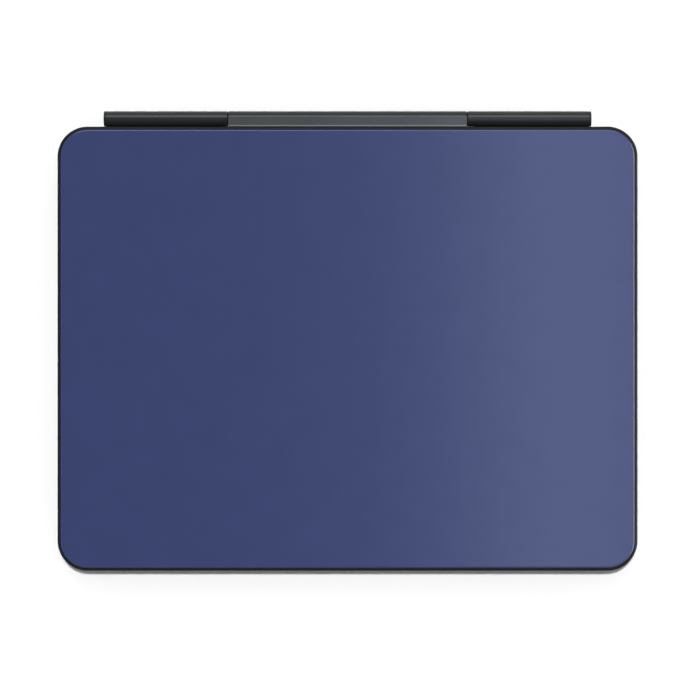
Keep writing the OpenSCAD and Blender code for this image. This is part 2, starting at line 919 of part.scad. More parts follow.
module magnet_plates() {
    color("#8f9296")
        for (y = magnet_rows)
            box(-magnet_strip_x + magnet_room, magnet_strip_x - magnet_room,
                y - magnet_strip_d / 2 + magnet_room, y + magnet_strip_d / 2 - magnet_room,
                pocket_top_z - shunt_t, pocket_top_z);
}

module at_pins() {
    for (i = [-1:1])
        translate([i * pin_pitch, contact_y, 0])
            children();
}

module contact_block() {
    color("#1b1c1e") difference() {
        contact_window(0, cover_z, contact_top_z);
        at_pins() {
            post(0, 0, pin_r + running_gap, cover_z - past, contact_top_z + past);
            post(0, 0, pin_r + pin_flange_t + running_gap, core_z, contact_top_z + past);
        }
    }
}

module contact_flex_cable() {
    x0 = cover_flex_x;
    x1 = cover_flex_x + cover_flex_w;
    riser_y = contact_y + contact_d / 2 + 1;
    color("#c07a2c") union() {
        box(-contact_w / 2, contact_w / 2, contact_y - contact_d / 2, contact_y + contact_d / 2,
            contact_top_z, contact_top_z + cover_flex_t);
        box(x0, x1, contact_y, riser_y, contact_top_z, contact_top_z + cover_flex_t);
        box(x0, x1, riser_y - cover_flex_t, riser_y, core_z, contact_top_z + cover_flex_t);
        box(x0, x1, riser_y - cover_flex_t, upper_end_y, core_z, core_z + cover_flex_t);
    }
}

module contact_pins() {
    color("#c9a35a") at_pins() {
        post(0, 0, pin_r, cover_z - pin_stand, pin_top_z);
        post(0, 0, pin_r + pin_flange_t, core_z + running_gap, core_z + running_gap + pin_flange_t);
    }
}

base_outer_sheet();
base_tray();
top_deck();
key_support_plate();
membrane_sheet();
dome_sheet();
scissor_links();
stabiliser_wires();
main_board();
keyboard_ribbon();
trackpad_ribbon();
trackpad_frame();
trackpad_switch();
plate_screws();
board_screws();
barrel_left();
barrel_right();
barrel_caps();
seam_washers();
hinge_bushes();
friction_clips();
hinge_screws();
base_flex_cable();
trackpad_glass();
trackpad_board();
keys_function_row();
keys_number_row();
key_backspace();
key_tab();
keys_upper_row();
key_caps_lock();
keys_home_row();
key_return();
key_left_shift();
keys_lower_row();
key_right_shift();
keys_bottom_row();
key_space();
keys_arrows();
hinge_tube();
hinge_hubs();
hinge_shafts();
shaft_clips();
hinge_plate();
plate_rivets();
lower_core();
lower_rim();
lower_outer_sheet();
lower_lining();
cover_flex_cable();
upper_core();
upper_rim();
upper_outer_sheet();
upper_lining();
holding_magnets();
magnet_plates();
contact_block();
contact_flex_cable();
contact_pins();
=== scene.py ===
"""A tablet keyboard case, closed on a pale floor and seen from straight above."""

import json
import math

import bmesh
import bpy
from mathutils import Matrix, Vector


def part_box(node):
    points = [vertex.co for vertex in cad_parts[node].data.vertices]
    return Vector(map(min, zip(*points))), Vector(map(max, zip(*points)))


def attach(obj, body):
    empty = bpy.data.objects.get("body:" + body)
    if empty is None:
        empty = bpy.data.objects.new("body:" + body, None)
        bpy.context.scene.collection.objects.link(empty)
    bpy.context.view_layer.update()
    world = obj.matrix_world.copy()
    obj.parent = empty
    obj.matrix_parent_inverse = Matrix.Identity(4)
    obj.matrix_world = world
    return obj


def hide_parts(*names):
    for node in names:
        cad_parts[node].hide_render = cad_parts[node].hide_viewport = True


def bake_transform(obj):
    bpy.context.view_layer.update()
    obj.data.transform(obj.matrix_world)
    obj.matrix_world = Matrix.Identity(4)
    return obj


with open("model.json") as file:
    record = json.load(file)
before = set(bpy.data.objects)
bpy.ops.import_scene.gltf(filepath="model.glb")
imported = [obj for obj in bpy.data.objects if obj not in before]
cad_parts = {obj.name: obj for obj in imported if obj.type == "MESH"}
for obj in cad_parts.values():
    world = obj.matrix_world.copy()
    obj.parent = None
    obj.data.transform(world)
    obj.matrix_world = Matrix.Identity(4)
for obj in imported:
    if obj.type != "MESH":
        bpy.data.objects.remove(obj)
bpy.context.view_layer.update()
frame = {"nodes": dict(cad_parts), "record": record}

MM = 0.001

# Sizes of the case, from the frame
tray_low, tray_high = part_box("base_tray")
sheet_low, sheet_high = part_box("base_outer_sheet")
deck_low, deck_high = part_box("top_deck")
field_low, field_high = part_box("key_support_plate")
rim_low, rim_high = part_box("upper_rim")
skin_low, skin_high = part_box("upper_outer_sheet")
lining_low, lining_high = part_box("upper_lining")
tube_low, tube_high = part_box("hinge_tube")
plate_low, plate_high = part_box("hinge_plate")
barrel_low, barrel_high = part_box("barrel_right")
caps_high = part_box("barrel_caps")[1]
block_low, block_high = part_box("contact_block")
pad_low, pad_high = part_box("trackpad_glass")

CORNER_R = 14.6 * MM
RIM_W = sheet_low.x - tray_low.x
SIDE_X = tray_high.x
FRONT_Y = tray_low.y
REAR_Y = tray_high.y
MIDDLE_Y = (FRONT_Y + REAR_Y) / 2
COVER_TOP = skin_high.z
FOLD_Y = (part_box("upper_core")[1].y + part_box("lower_core")[0].y) / 2
AXIS_Y = (tube_low.y + tube_high.y) / 2
AXIS_Z = (tube_low.z + tube_high.z) / 2
TUBE_R = (tube_high.z - tube_low.z) / 2
TUBE_WALL = 0.6 * MM
PAD_R = 4.0 * MM

# Straight pieces in a quarter of a corner, and in one turn of a tube
CORNER_STEPS = 24
TURN_STEPS = 96


# ---------------------------------------------------------------- materials


def new_material(name):
    """A material with its nodes, its links and its principled shader."""
    made = bpy.data.materials.new(name)
    made.use_nodes = True
    tree = made.node_tree
    return made, tree.nodes, tree.links, tree.nodes["Principled BSDF"]


def noise(nodes, links, coords, scale, detail=3, stretch=(1, 1, 1)):
    """A noise texture in object coordinates. The scale is in features per metre."""
    mapping = nodes.new("ShaderNodeMapping")
    mapping.inputs["Scale"].default_value = stretch
    links.new(coords.outputs["Object"], mapping.inputs["Vector"])
    texture = nodes.new("ShaderNodeTexNoise")
    texture.inputs["Scale"].default_value = scale
    texture.inputs["Detail"].default_value = detail
    links.new(mapping.outputs["Vector"], texture.inputs["Vector"])
    return texture.outputs["Fac"]


def pebbles(nodes, links, coords, scale):
    """Rounded cells like leather grain. The scale is in cells per metre."""
    texture = nodes.new("ShaderNodeTexVoronoi")
    texture.feature = "SMOOTH_F1"
    texture.inputs["Scale"].default_value = scale
    texture.inputs["Smoothness"].default_value = 0.7
    links.new(coords.outputs["Object"], texture.inputs["Vector"])
    return texture.outputs["Distance"]


def remap(nodes, links, value, low, high):
    """Maps 0 to 1 onto low to high."""
    ranged = nodes.new("ShaderNodeMapRange")
    ranged.inputs["To Min"].default_value = low
    ranged.inputs["To Max"].default_value = high
    links.new(value, ranged.inputs["Value"])
    return ranged.outputs["Result"]


def tint(nodes, links, value, colour, spread):
    """A colour that the value makes darker or lighter by a share of spread."""
    ramp = nodes.new("ShaderNodeValToRGB")
    ramp.color_ramp.elements[0].position = 0.3
    ramp.color_ramp.elements[1].position = 0.7
    ramp.color_ramp.elements[0].color = [c * (1 - spread) for c in colour] + [1]
    ramp.color_ramp.elements[1].color = [c * (1 + spread) for c in colour] + [1]
    links.new(value, ramp.inputs["Fac"])
    return ramp.outputs["Color"]


def add_bump(nodes, links, shader, height, strength, distance, before=None):
    """A bump on the shader, on top of an earlier bump node when one is given."""
    bump = nodes.new("ShaderNodeBump")
    bump.inputs["Strength"].default_value = strength
    bump.inputs["Distance"].default_value = distance
    links.new(height, bump.inputs["Height"])
    if before is not None:
        links.new(before.outputs["Normal"], bump.inputs["Normal"])
    links.new(bump.outputs["Normal"], shader.inputs["Normal"])
    return bump


def leather(name, colour, roughness, grain, depth, sheen):
    """Synthetic leather: fine pebbles, a faint mottle and a sheen.

    The grain is in pebbles per metre, and the depth is theirs in metres.
    """
    made, nodes, links, shader = new_material(name)
    coords = nodes.new("ShaderNodeTexCoord")
    mottle = noise(nodes, links, coords, 90, 4)
    cells = pebbles(nodes, links, coords, grain)
    pores = noise(nodes, links, coords, grain * 2.5, 2)
    links.new(tint(nodes, links, mottle, colour, 0.03), shader.inputs["Base Color"])
    links.new(
        remap(nodes, links, pores, roughness - 0.04, roughness + 0.04),
        shader.inputs["Roughness"],
    )
    first = add_bump(nodes, links, shader, cells, 0.5, depth)
    add_bump(nodes, links, shader, pores, 0.35, depth * 0.5, first)
    shader.inputs["Sheen Weight"].default_value = sheen
    shader.inputs["Sheen Roughness"].default_value = 0.5
    shader.inputs["Specular IOR Level"].default_value = 0.45
    return made


def moulded(name, colour, roughness, grain=2600, depth=0.01 * MM, specular=0.5):
    """Moulded plastic or rubber with a fine spark-eroded texture."""
    made, nodes, links, shader = new_material(name)
    coords = nodes.new("ShaderNodeTexCoord")
    fine = noise(nodes, links, coords, grain, 2)
    broad = noise(nodes, links, coords, 60, 3)
    links.new(tint(nodes, links, broad, colour, 0.06), shader.inputs["Base Color"])
    links.new(
        remap(nodes, links, broad, roughness - 0.05, roughness + 0.05),
        shader.inputs["Roughness"],
    )
    add_bump(nodes, links, shader, fine, 0.4, depth)
    shader.inputs["Specular IOR Level"].default_value = specular
    return made


def metal(name, colour, roughness, stretch=(1, 1, 1), specular=0.5, metallic=1.0):
    """Metal with a fine drawn or blasted finish; stretch gives the grain its direction."""
    made, nodes, links, shader = new_material(name)
    coords = nodes.new("ShaderNodeTexCoord")
    grain = noise(nodes, links, coords, 2200, 3, stretch)
    broad = noise(nodes, links, coords, 45, 3)
    links.new(tint(nodes, links, broad, colour, 0.05), shader.inputs["Base Color"])
    links.new(
        remap(nodes, links, grain, roughness - 0.06, roughness + 0.06),
        shader.inputs["Roughness"],
    )
    add_bump(nodes, links, shader, grain, 0.25, 0.004 * MM)
    shader.inputs["Metallic"].default_value = metallic
    shader.inputs["Specular IOR Level"].default_value = specular
    return made


def microfibre(name, colour):
    """Short-napped cloth: a fine weave under soft, directionless fibres."""
    made, nodes, links, shader = new_material(name)
    coords = nodes.new("ShaderNodeTexCoord")
    nap = noise(nodes, links, coords, 1800, 5)
    cloud = noise(nodes, links, coords, 35, 4)
    links.new(tint(nodes, links, cloud, colour, 0.05), shader.inputs["Base Color"])
    links.new(remap(nodes, links, nap, 0.82, 0.98), shader.inputs["Roughness"])
    add_bump(nodes, links, shader, nap, 0.6, 0.06 * MM)
    shader.inputs["Sheen Weight"].default_value = 0.35
    shader.inputs["Sheen Roughness"].default_value = 0.6
    shader.inputs["Specular IOR Level"].default_value = 0.2
    return made


BLUE = (0.0355, 0.0495, 0.141)

# Name, colour and, on all but cloth, roughness; then what is special to the material
MATERIALS = {
    "blue_sheet": leather(
        "blue_sheet", BLUE, 0.23, grain=1700, depth=0.004 * MM, sheen=0.0
    ),
    "dark_rim": moulded(
        "dark_rim",
        (0.0105, 0.012, 0.012),
        0.42,
        grain=1500,
        depth=0.01 * MM,
        specular=0.1,
    ),
    "dark_shell": moulded("dark_shell", (0.013, 0.0145, 0.0155), 0.5, specular=0.2),
    "deck": leather(
        "deck", (0.036, 0.038, 0.044), 0.55, grain=1500, depth=0.012 * MM, sheen=0.05
    ),
    "key_cap": moulded(
        "key_cap",
        (0.012, 0.013, 0.015),
        0.45,
        grain=3000,
        depth=0.006 * MM,
        specular=0.35,
    ),
    "legend": moulded("legend", (0.62, 0.64, 0.66), 0.55),
    "trackpad_glass": moulded(
        "trackpad_glass", (0.050, 0.053, 0.060), 0.34, grain=5000, depth=0.002 * MM
    ),
    "dark_metal": metal(
        "dark_metal",
        (0.022, 0.024, 0.025),
        0.3,
        stretch=(0.02, 1, 1),
        specular=0.3,
        metallic=0.2,
    ),
    "plate_metal": metal(
        "plate_metal",
        (0.066, 0.073, 0.075),
        0.25,
        stretch=(1, 0.05, 1),
        specular=0.35,
        metallic=0.2,
    ),
    # Lighter metal for the strip along the hinge plate's front edge: a painted highlight,
    # not a real trim
    "painted_highlight_edge": metal(
        "painted_highlight_edge",
        (0.17, 0.185, 0.185),
        0.3,
        stretch=(0.05, 1, 1),
        specular=0.4,
        metallic=0.1,
    ),
    "steel": metal("steel", (0.45, 0.46, 0.47), 0.35, stretch=(0.1, 1, 1)),
    "bronze": metal("bronze", (0.48, 0.36, 0.16), 0.4),
    "gold": metal("gold", (0.80, 0.56, 0.20), 0.2),
    "circuit_board": moulded("circuit_board", (0.010, 0.085, 0.035), 0.35),
    "flex": moulded("flex", (0.032, 0.024, 0.016), 0.35),
    "membrane": moulded("membrane", (0.45, 0.52, 0.42), 0.3),
    "silicone": moulded("silicone", (0.55, 0.55, 0.52), 0.6),
    "link_plastic": moulded("link_plastic", (0.68, 0.68, 0.65), 0.45),
    "core_board": moulded("core_board", (0.030, 0.032, 0.035), 0.7),
    "lining": microfibre("lining", (0.030, 0.032, 0.037)),
    "magnet": metal("magnet", (0.50, 0.51, 0.52), 0.22),
}

for part in frame["record"]["subparts"]:
    for holder in frame["nodes"][part["node"]].material_slots:
        holder.material = MATERIALS[part["material_slot"]]


# ---------------------------------------------------------------- mesh tools


def keep_flats_flat(mesh):
    """Marks the edges between level faces and other faces as sharp."""
    level = 0.9999
    work = bmesh.new()
    work.from_mesh(mesh)
    for edge in work.edges:
        levels = [abs(face.normal.z) > level for face in edge.link_faces]
        if any(levels) and not all(levels):
            edge.smooth = False
    work.to_mesh(mesh)
    work.free()


def finished(name, mesh, body, slot, replaced=(), sharp_angle=40):
    """Makes the mesh a shaded piece that rides on a body and stands for CAD nodes."""
    piece = bpy.data.objects.new(name, mesh)
    bpy.context.scene.collection.objects.link(piece)
    mesh.materials.clear()
    mesh.materials.append(MATERIALS[slot])
    mesh.shade_smooth()
    mesh.set_sharp_from_angle(angle=math.radians(sharp_angle))
    keep_flats_flat(mesh)
    if body:
        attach(piece, body)
    if replaced:
        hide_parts(*replaced)
    return piece


def corner(x, y, radius, start, steps):
    """Points of a quarter circle, from the start angle in degrees."""
    angles = [math.radians(start + 90 * i / steps) for i in range(steps + 1)]
    return [(x + radius * math.cos(a), y + radius * math.sin(a)) for a in angles]


def rounded(x0, y0, x1, y1, radius, steps=CORNER_STEPS):
    """Outline of a rectangle with round corners, anticlockwise."""
    return (
        corner(x1 - radius, y0 + radius, radius, -90, steps)
        + corner(x1 - radius, y1 - radius, radius, 0, steps)
        + corner(x0 + radius, y1 - radius, radius, 90, steps)
        + corner(x0 + radius, y0 + radius, radius, 180, steps)
    )


def case_outline(inset):
    """The outline of the case, moved inwards."""
    return rounded(
        -SIDE_X + inset,
        FRONT_Y + inset,
        SIDE_X - inset,
        REAR_Y - inset,
        CORNER_R - inset,
    )


def loops_mesh(name, loops, closed=False, lid=None):
    """A mesh from loops of equal length: capped at both ends, or joined end to end.

    The lid gives the faces of the last cap, as indices into the last loop.
    """
    count = len(loops[0])
    points = [p for loop in loops for p in loop]
    faces = []
    rounds = len(loops) if closed else len(loops) - 1
    for i in range(rounds):
        a = i * count
        b = (i + 1) % len(loops) * count
        for j in range(count):
            k = (j + 1) % count
            faces.append((a + j, a + k, b + k, b + j))
    if not closed:
        last = len(points) - count
        faces.append(tuple(reversed(range(count))))
        for face in lid or [range(count)]:
            faces.append(tuple(last + i for i in face))
    mesh = bpy.data.meshes.new(name)
    mesh.from_pydata(points, [], faces)
    mesh.validate()
    work = bmesh.new()
    work.from_mesh(mesh)
    bmesh.ops.recalc_face_normals(work, faces=work.faces)
    work.to_mesh(mesh)
    work.free()
    return mesh


def at_height(outline, z):
    """The points of a flat outline, lifted to a height."""
    return [(x, y, z) for x, y in outline]


def fillet(inset, z, radius, from_angle, to_angle, steps=6):
    """Points (inset, height) of an arc round a centre, in the profile's plane."""
    angles = [
        math.radians(from_angle + (to_angle - from_angle) * i / steps)
        for i in range(steps + 1)
    ]
    return [(inset + radius * math.cos(a), z + radius * math.sin(a)) for a in angles]


def stack_mesh(name, profile, shape=case_outline):
    """A solid whose wall follows a profile of (inset, height) round an outline."""
    return loops_mesh(name, [at_height(shape(inset), z) for inset, z in profile])


def band_mesh(name, profile, shape=case_outline):
    """A closed ring whose section is a profile of (inset, height)."""
    loops = [at_height(shape(inset), z) for inset, z in profile]
    return loops_mesh(name, loops, closed=True)


def plate_mesh(name, outlines, z0, z1, edge):
    """A flat plate with holes and rounded edges: the first outline is the outer one."""
    curve = bpy.data.curves.new(name, "CURVE")
    curve.dimensions = "2D"
    curve.fill_mode = "BOTH"
    for outline in outlines:
        spline = curve.splines.new("POLY")
        spline.points.add(len(outline) - 1)
        for point, (x, y) in zip(spline.points, outline, strict=True):
            point.co = (x, y, 0, 1)
        spline.use_cyclic_u = True
    curve.extrude = (z1 - z0) / 2 - edge
    curve.bevel_depth = edge
    curve.bevel_resolution = 1
    curve.offset = -edge
    holder = bpy.data.objects.new(name + "_curve", curve)
    holder.location.z = (z0 + z1) / 2
    bpy.context.scene.collection.objects.link(holder)
    bpy.context.view_layer.update()
    seen = holder.evaluated_get(bpy.context.evaluated_depsgraph_get())
    mesh = bpy.data.meshes.new_from_object(seen)
    mesh.transform(holder.matrix_world)
    bpy.data.objects.remove(holder)
    merge = 0.002 * MM
    work = bmesh.new()
    work.from_mesh(mesh)
    bmesh.ops.remove_doubles(work, verts=work.verts, dist=merge)
    bmesh.ops.recalc_face_normals(work, faces=work.faces)
    work.to_mesh(mesh)
    work.free()
    mesh.name = name
    return mesh


def cut_across(mesh, places):
    """Adds edges across the mesh at each y, so that it can bend there."""
    work = bmesh.new()
    work.from_mesh(mesh)
    for y in places:
        everything = work.verts[:] + work.edges[:] + work.faces[:]
        bmesh.ops.bisect_plane(
            work, geom=everything, dist=1e-7, plane_co=(0, y, 0), plane_no=(0, 1, 0)
        )
    work.to_mesh(mesh)
    work.free()


def lathe_mesh(name, profile, closed=True):
    """A mesh turned round the hinge's axis from a profile of (x, radius)."""
    angles = [2 * math.pi * i / TURN_STEPS for i in range(TURN_STEPS)]
    loops = []
    for x, radius in profile:
        loops.append(
            [
                (x, AXIS_Y + radius * math.cos(a), AXIS_Z + radius * math.sin(a))
                for a in angles
            ]
        )
    return loops_mesh(name, loops, closed)


def bar_mesh(name, section, x0, x1, edge=0.0):
    """A bar along X with a section of (y, z) points, chamfered at its ends by the edge."""
    middle_y = sum(y for y, z in section) / len(section)
    middle_z = sum(z for y, z in section) / len(section)
    loops = []
    for x, shrink in ((x0, edge), (x0 + edge, 0), (x1 - edge, 0), (x1, edge)):
        loop = []
        for y, z in section:
            away = Vector((y - middle_y, z - middle_z))
            scale = max(0, 1 - shrink / away.length) if away.length else 1
            loop.append((x, middle_y + away.x * scale, middle_z + away.y * scale))
        loops.append(loop)
    return loops_mesh(name, loops)


def joined(name, meshes):
    """One mesh from several, with their parts left as they are."""
    work = bmesh.new()
    for mesh in meshes:
        work.from_mesh(mesh)
    made = bpy.data.meshes.new(name)
    work.to_mesh(made)
    work.free()
    return made


# ---------------------------------------------------------------- cover

# The cover is cut across over this reach on both sides of the fold, at evenly spaced places
FOLD_REACH = 3.0 * MM
HALF_CUTS = 6
fold_cuts = [
    FOLD_Y + FOLD_REACH * (i / HALF_CUTS - 1) for i in range(2 * HALF_CUTS + 1)
]


def across_fold(piece):
    """Bakes the piece's placement into its mesh."""
    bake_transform(piece)


def cover_outer_sheet():
    """The blue sheet of both panels, with an edge that is a quarter of an ellipse."""
    reach = 0.8 * MM
    drop = 0.5 * MM
    steps = 12
    profile = [(RIM_W, skin_low.z)]
    for i in range(steps + 1):
        a = math.radians(90 * i / steps)
        inset = RIM_W + reach * (1 - math.cos(a))
        profile.append((inset, COVER_TOP - drop * (1 - math.sin(a))))
    profile.append((RIM_W + 1.5 * reach, COVER_TOP))
    mesh = stack_mesh("cover_outer_sheet", profile)
    cut_across(mesh, fold_cuts)
    piece = finished(
        "cover_outer_sheet",
        mesh,
        None,
        "blue_sheet",
        ("upper_outer_sheet", "lower_outer_sheet"),
    )
    across_fold(piece)


def cover_edge_band():
    """The dark band round both panels, with rounded edges above and below."""
    edge = 1.1 * MM
    flat = edge + 0.15 * MM
    low = rim_low.z
    high = rim_high.z
    profile = [(RIM_W, low), (RIM_W, high), (flat, high)]
    profile += fillet(edge, high - edge, edge, 90, 180)
    profile += fillet(edge, low + edge, edge, 180, 270)
    profile += [(flat, low)]
    mesh = band_mesh("cover_edge_band", profile)
    cut_across(mesh, fold_cuts)
    piece = finished(
        "cover_edge_band", mesh, None, "dark_rim", ("upper_rim", "lower_rim")
    )
    across_fold(piece)


def cover_lining():
    """The napped lining, with a window for the contacts and a groove at the fold."""
    clear = 0.1 * MM
    window_r = 0.3 * MM
    edge = 0.12 * MM
    groove = 0.18 * MM
    window = rounded(
        block_low.x - clear,
        block_low.y - clear,
        block_high.x + clear,
        block_high.y + clear,
        window_r,
        3,
    )
    mesh = plate_mesh(
        "cover_lining",
        [case_outline(RIM_W), window],
        lining_low.z,
        lining_high.z,
        edge,
    )
    cut_across(mesh, fold_cuts)
    for vertex in mesh.vertices:
        away = abs(vertex.co.y - FOLD_Y) / (0.5 * FOLD_REACH)
        if away < 1 and vertex.co.z < lining_low.z + 0.01 * MM:
            vertex.co.z += groove * (1 - away * away)
    piece = finished(
        "cover_lining", mesh, None, "lining", ("upper_lining", "lower_lining"), 20
    )
    across_fold(piece)


cover_outer_sheet()
cover_edge_band()
cover_lining()


# ---------------------------------------------------------------- hinge

TUBE_CHAMFER = 0.2 * MM


def tube_profile(x0, x1, chamfer):
    """Section of an open tube from x0 to x1, as points (x, radius)."""
    inner = TUBE_R - TUBE_WALL
    return [
        (x0, inner),
        (x0, TUBE_R - chamfer),
        (x0 + chamfer, TUBE_R),
        (x1 - chamfer, TUBE_R),
        (x1, TUBE_R - chamfer),
        (x1, inner),
    ]


def hinge_centre_tube():
    """The middle tube, which is fixed to the lower cover panel."""
    profile = tube_profile(tube_low.x, tube_high.x, TUBE_CHAMFER)
    mesh = lathe_mesh("hinge_centre_tube", profile)
    finished("hinge_centre_tube", mesh, "lower_cover", "dark_metal", ("hinge_tube",), 30)


def hinge_cover_plate():
    """The flat plate over the tube, its tongue in the panel and a lighter strip along its
    front edge, which is a painted highlight.
    """
    tongue_low = 13.0 * MM
    tongue_high = tongue_low + 1.2 * MM
    front_y = REAR_Y + 0.2 * MM
    wall_y = front_y + 0.1 * MM
    chamfer = 0.45 * MM
    top = plate_high.z
    under = AXIS_Z + TUBE_R - 0.9 * MM
    saddle_r = TUBE_R + 0.02 * MM
    saddle = [
        (
            AXIS_Y + saddle_r * math.cos(math.radians(a)),
            AXIS_Z + saddle_r * math.sin(math.radians(a)),
        )
        for a in range(74, 131, 8)
    ]
    section = [(plate_high.y, top - 0.35 * MM), (plate_high.y - 0.12 * MM, top - 0.1 * MM)]
    section += [(plate_high.y - 0.35 * MM, top), (front_y + chamfer, top)]
    section += [(wall_y, top - chamfer), (wall_y, under)]
    section += [(saddle[-1][0], under)]
    section += list(reversed(saddle))
    mesh = bar_mesh("hinge_cover_plate", section, plate_low.x, plate_high.x)
    proud = top + 0.02 * MM
    # A flat strip of lighter metal along the front edge: a painted highlight where a
    # chamfer would catch the light
    painted_highlight_section = [
        (front_y + 1.3 * chamfer, top - 0.2 * MM),
        (front_y + 1.3 * chamfer, proud),
        (front_y + 0.3 * chamfer, proud),
        (front_y, top - 0.12 * MM),
        (front_y, top - 0.6 * chamfer),
    ]
    edge = bar_mesh(
        "plate_painted_highlight",
        painted_highlight_section,
        plate_low.x + 0.2 * MM,
        plate_high.x - 0.2 * MM,
        0.05 * MM,
    )
    finished("hinge_plate_painted_highlight", edge, "lower_cover", "painted_highlight_edge", (), 20)
    tongue = bar_mesh(
        "hinge_tongue",
        [
            (plate_low.y, tongue_low),
            (wall_y, tongue_low),
            (wall_y, tongue_high),
            (plate_low.y, tongue_high),
        ],
        plate_low.x,
        plate_high.x,
    )
    finished(
        "hinge_cover_plate",
        joined("hinge_cover_plate", [mesh, tongue]),
        "lower_cover",
        "plate_metal",
        ("hinge_plate",),
        25,
    )


def foot_section():
    """Side view of a barrel's foot, from the tray's floor up to the tube."""
    floor_z = barrel_low.z
    top_z = floor_z + 2.1 * MM
    reach = 0.6 * TUBE_R
    return [
        (barrel_low.y, floor_z),
        (REAR_Y + 0.4 * MM, floor_z),
        (REAR_Y + 1.2 * MM, floor_z + 0.15 * MM),
        (AXIS_Y + reach - 0.3 * MM, AXIS_Z - 0.8 * TUBE_R - 0.4 * MM),
        (AXIS_Y + reach, AXIS_Z - 0.78 * TUBE_R),
        (AXIS_Y, AXIS_Z - 0.9 * TUBE_R),
        (AXIS_Y - reach, AXIS_Z - 0.78 * TUBE_R),
        (REAR_Y, top_z),
        (barrel_low.y, top_z),
    ]


def hinge_barrel(side, name):
    """An outer barrel with its foot; side is 1 on the right and -1 on the left."""
    seam_x = barrel_low.x
    joint_x = barrel_high.x
    foot_inset = 3.5 * MM
    foot_end_inset = 0.3 * MM
    tube = lathe_mesh(
        name,
        [(side * x, r) for x, r in tube_profile(seam_x, joint_x, TUBE_CHAMFER)],
    )
    ends = sorted((side * (seam_x + foot_inset), side * (joint_x - foot_end_inset)))
    foot = bar_mesh(name + "_foot", foot_section(), ends[0], ends[1], 0.4 * MM)
    finished(name + "_shell", joined(name, [tube, foot]), "base", "dark_metal", (name,), 30)


def hinge_end_caps():
    """Turned end plugs: a rounded rim round a shallow dished face."""
    joint_x = barrel_high.x
    end_x = caps_high.x
    edge = 0.35 * MM
    spigot_x = joint_x - 2.5 * MM
    spigot_r = TUBE_R - TUBE_WALL - 0.02 * MM
    centre_r = 0.2 * MM
    seam = joint_x + 0.05 * MM
    dish_x = end_x - 0.2 * MM
    profile = [
        (spigot_x, centre_r),
        (spigot_x, spigot_r),
        (seam, spigot_r),
        (seam, TUBE_R - 0.12 * MM),
        (joint_x + 0.15 * MM, TUBE_R),
        (end_x - edge, TUBE_R),
        (end_x - 0.3 * edge, TUBE_R - 0.3 * edge),
        (end_x, TUBE_R - edge),
        (end_x, TUBE_R - 0.9 * MM),
        (end_x - 0.15 * MM, TUBE_R - 1.1 * MM),
        (dish_x, 1.0 * MM),
        (dish_x, centre_r),
    ]
    halves = [
        lathe_mesh("cap", [(side * x, r) for x, r in profile], closed=False)
        for side in (1, -1)
    ]
    finished(
        "hinge_end_caps", joined("caps", halves), "base", "dark_metal", ("barrel_caps",), 30
    )


def hinge_seam_washers():
    """Dark washers that fill the seams between the centre tube and the barrels."""
    gap = 0.1 * MM
    bore_r = 1.6 * MM
    outer_r = TUBE_R - 0.2 * MM
    x0 = tube_high.x + gap
    x1 = barrel_low.x - gap
    profile = [(x0, bore_r), (x0, outer_r - gap), (x0 + gap, outer_r)]
    profile += [(x1 - gap, outer_r), (x1, outer_r - gap), (x1, bore_r)]
    halves = [
        lathe_mesh("washer", [(side * x, r) for x, r in profile]) for side in (1, -1)
    ]
    finished(
        "hinge_seam_washers",
        joined("washers", halves),
        "base",
        "dark_shell",
        ("seam_washers",),
        30,
    )


hinge_centre_tube()
hinge_seam_washers()
hinge_cover_plate()
hinge_barrel(1, "barrel_right")
hinge_barrel(-1, "barrel_left")
hinge_end_caps()


# ---------------------------------------------------------------- base


def underside_sheet():
    """The blue sheet that the case lies on, with a round edge."""
    edge = 0.4 * MM
    profile = [(RIM_W + 2.5 * edge, 0), (RIM_W + edge, 0)]
    profile += fillet(RIM_W + edge, edge, edge, 270, 180)[1:]
    profile += [(RIM_W, sheet_high.z)]
    mesh = stack_mesh("underside_sheet", profile)
    piece = finished("underside_sheet", mesh, "base", "blue_sheet", ("base_outer_sheet",))


def tray_shell():
    """The tray: a floor, a round-edged wall and the ledge that carries the deck."""
    edge = 1.2 * MM
    lip = 0.5 * MM
    inner_lip = 0.3 * MM
    low = tray_low.z
    high = tray_high.z
    ledge = RIM_W + 1.5 * MM
    floor_top = barrel_low.z
    profile = [(RIM_W + 0.5 * MM, sheet_high.z), (RIM_W, sheet_high.z), (RIM_W, low)]
    profile += [(edge + 0.1 * MM, low)]
    profile += fillet(edge, low + edge, edge, 270, 180)
    profile += fillet(lip, high - lip, lip, 180, 90)
    profile += fillet(RIM_W - inner_lip, high - inner_lip, inner_lip, 90, 0, 3)
    profile += [(RIM_W, deck_low.z), (ledge, deck_low.z), (ledge, floor_top)]
    profile += [(ledge + 0.5 * MM, floor_top)]
    mesh = stack_mesh("tray_shell", profile)
    finished("tray_shell", mesh, "base", "dark_shell", ("base_tray",), 50)


underside_sheet()
tray_shell()


# ---------------------------------------------------------------- keyboard

# The key field is measured in units, the pitch of a letter key
FIELD_UNITS = 14.5
UNIT = (field_high.x - field_low.x) / FIELD_UNITS
FUNCTION_D = field_high.y - field_low.y - 5 * UNIT
tab_low, tab_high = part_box("key_tab")
KEY_GAP = 1.5 * UNIT - (tab_high.x - tab_low.x)
KEY_R = 1.6 * MM
KEY_LOW = tab_low.z
KEY_TOP = tab_high.z
KEY_DISH = 0.14 * MM
LEGEND_Z = KEY_TOP - 0.11 * MM
ARROW_GAP = 1.4 * MM
WELL_GAP = 0.35 * MM
FUNCTION_UNIT = FIELD_UNITS / 14

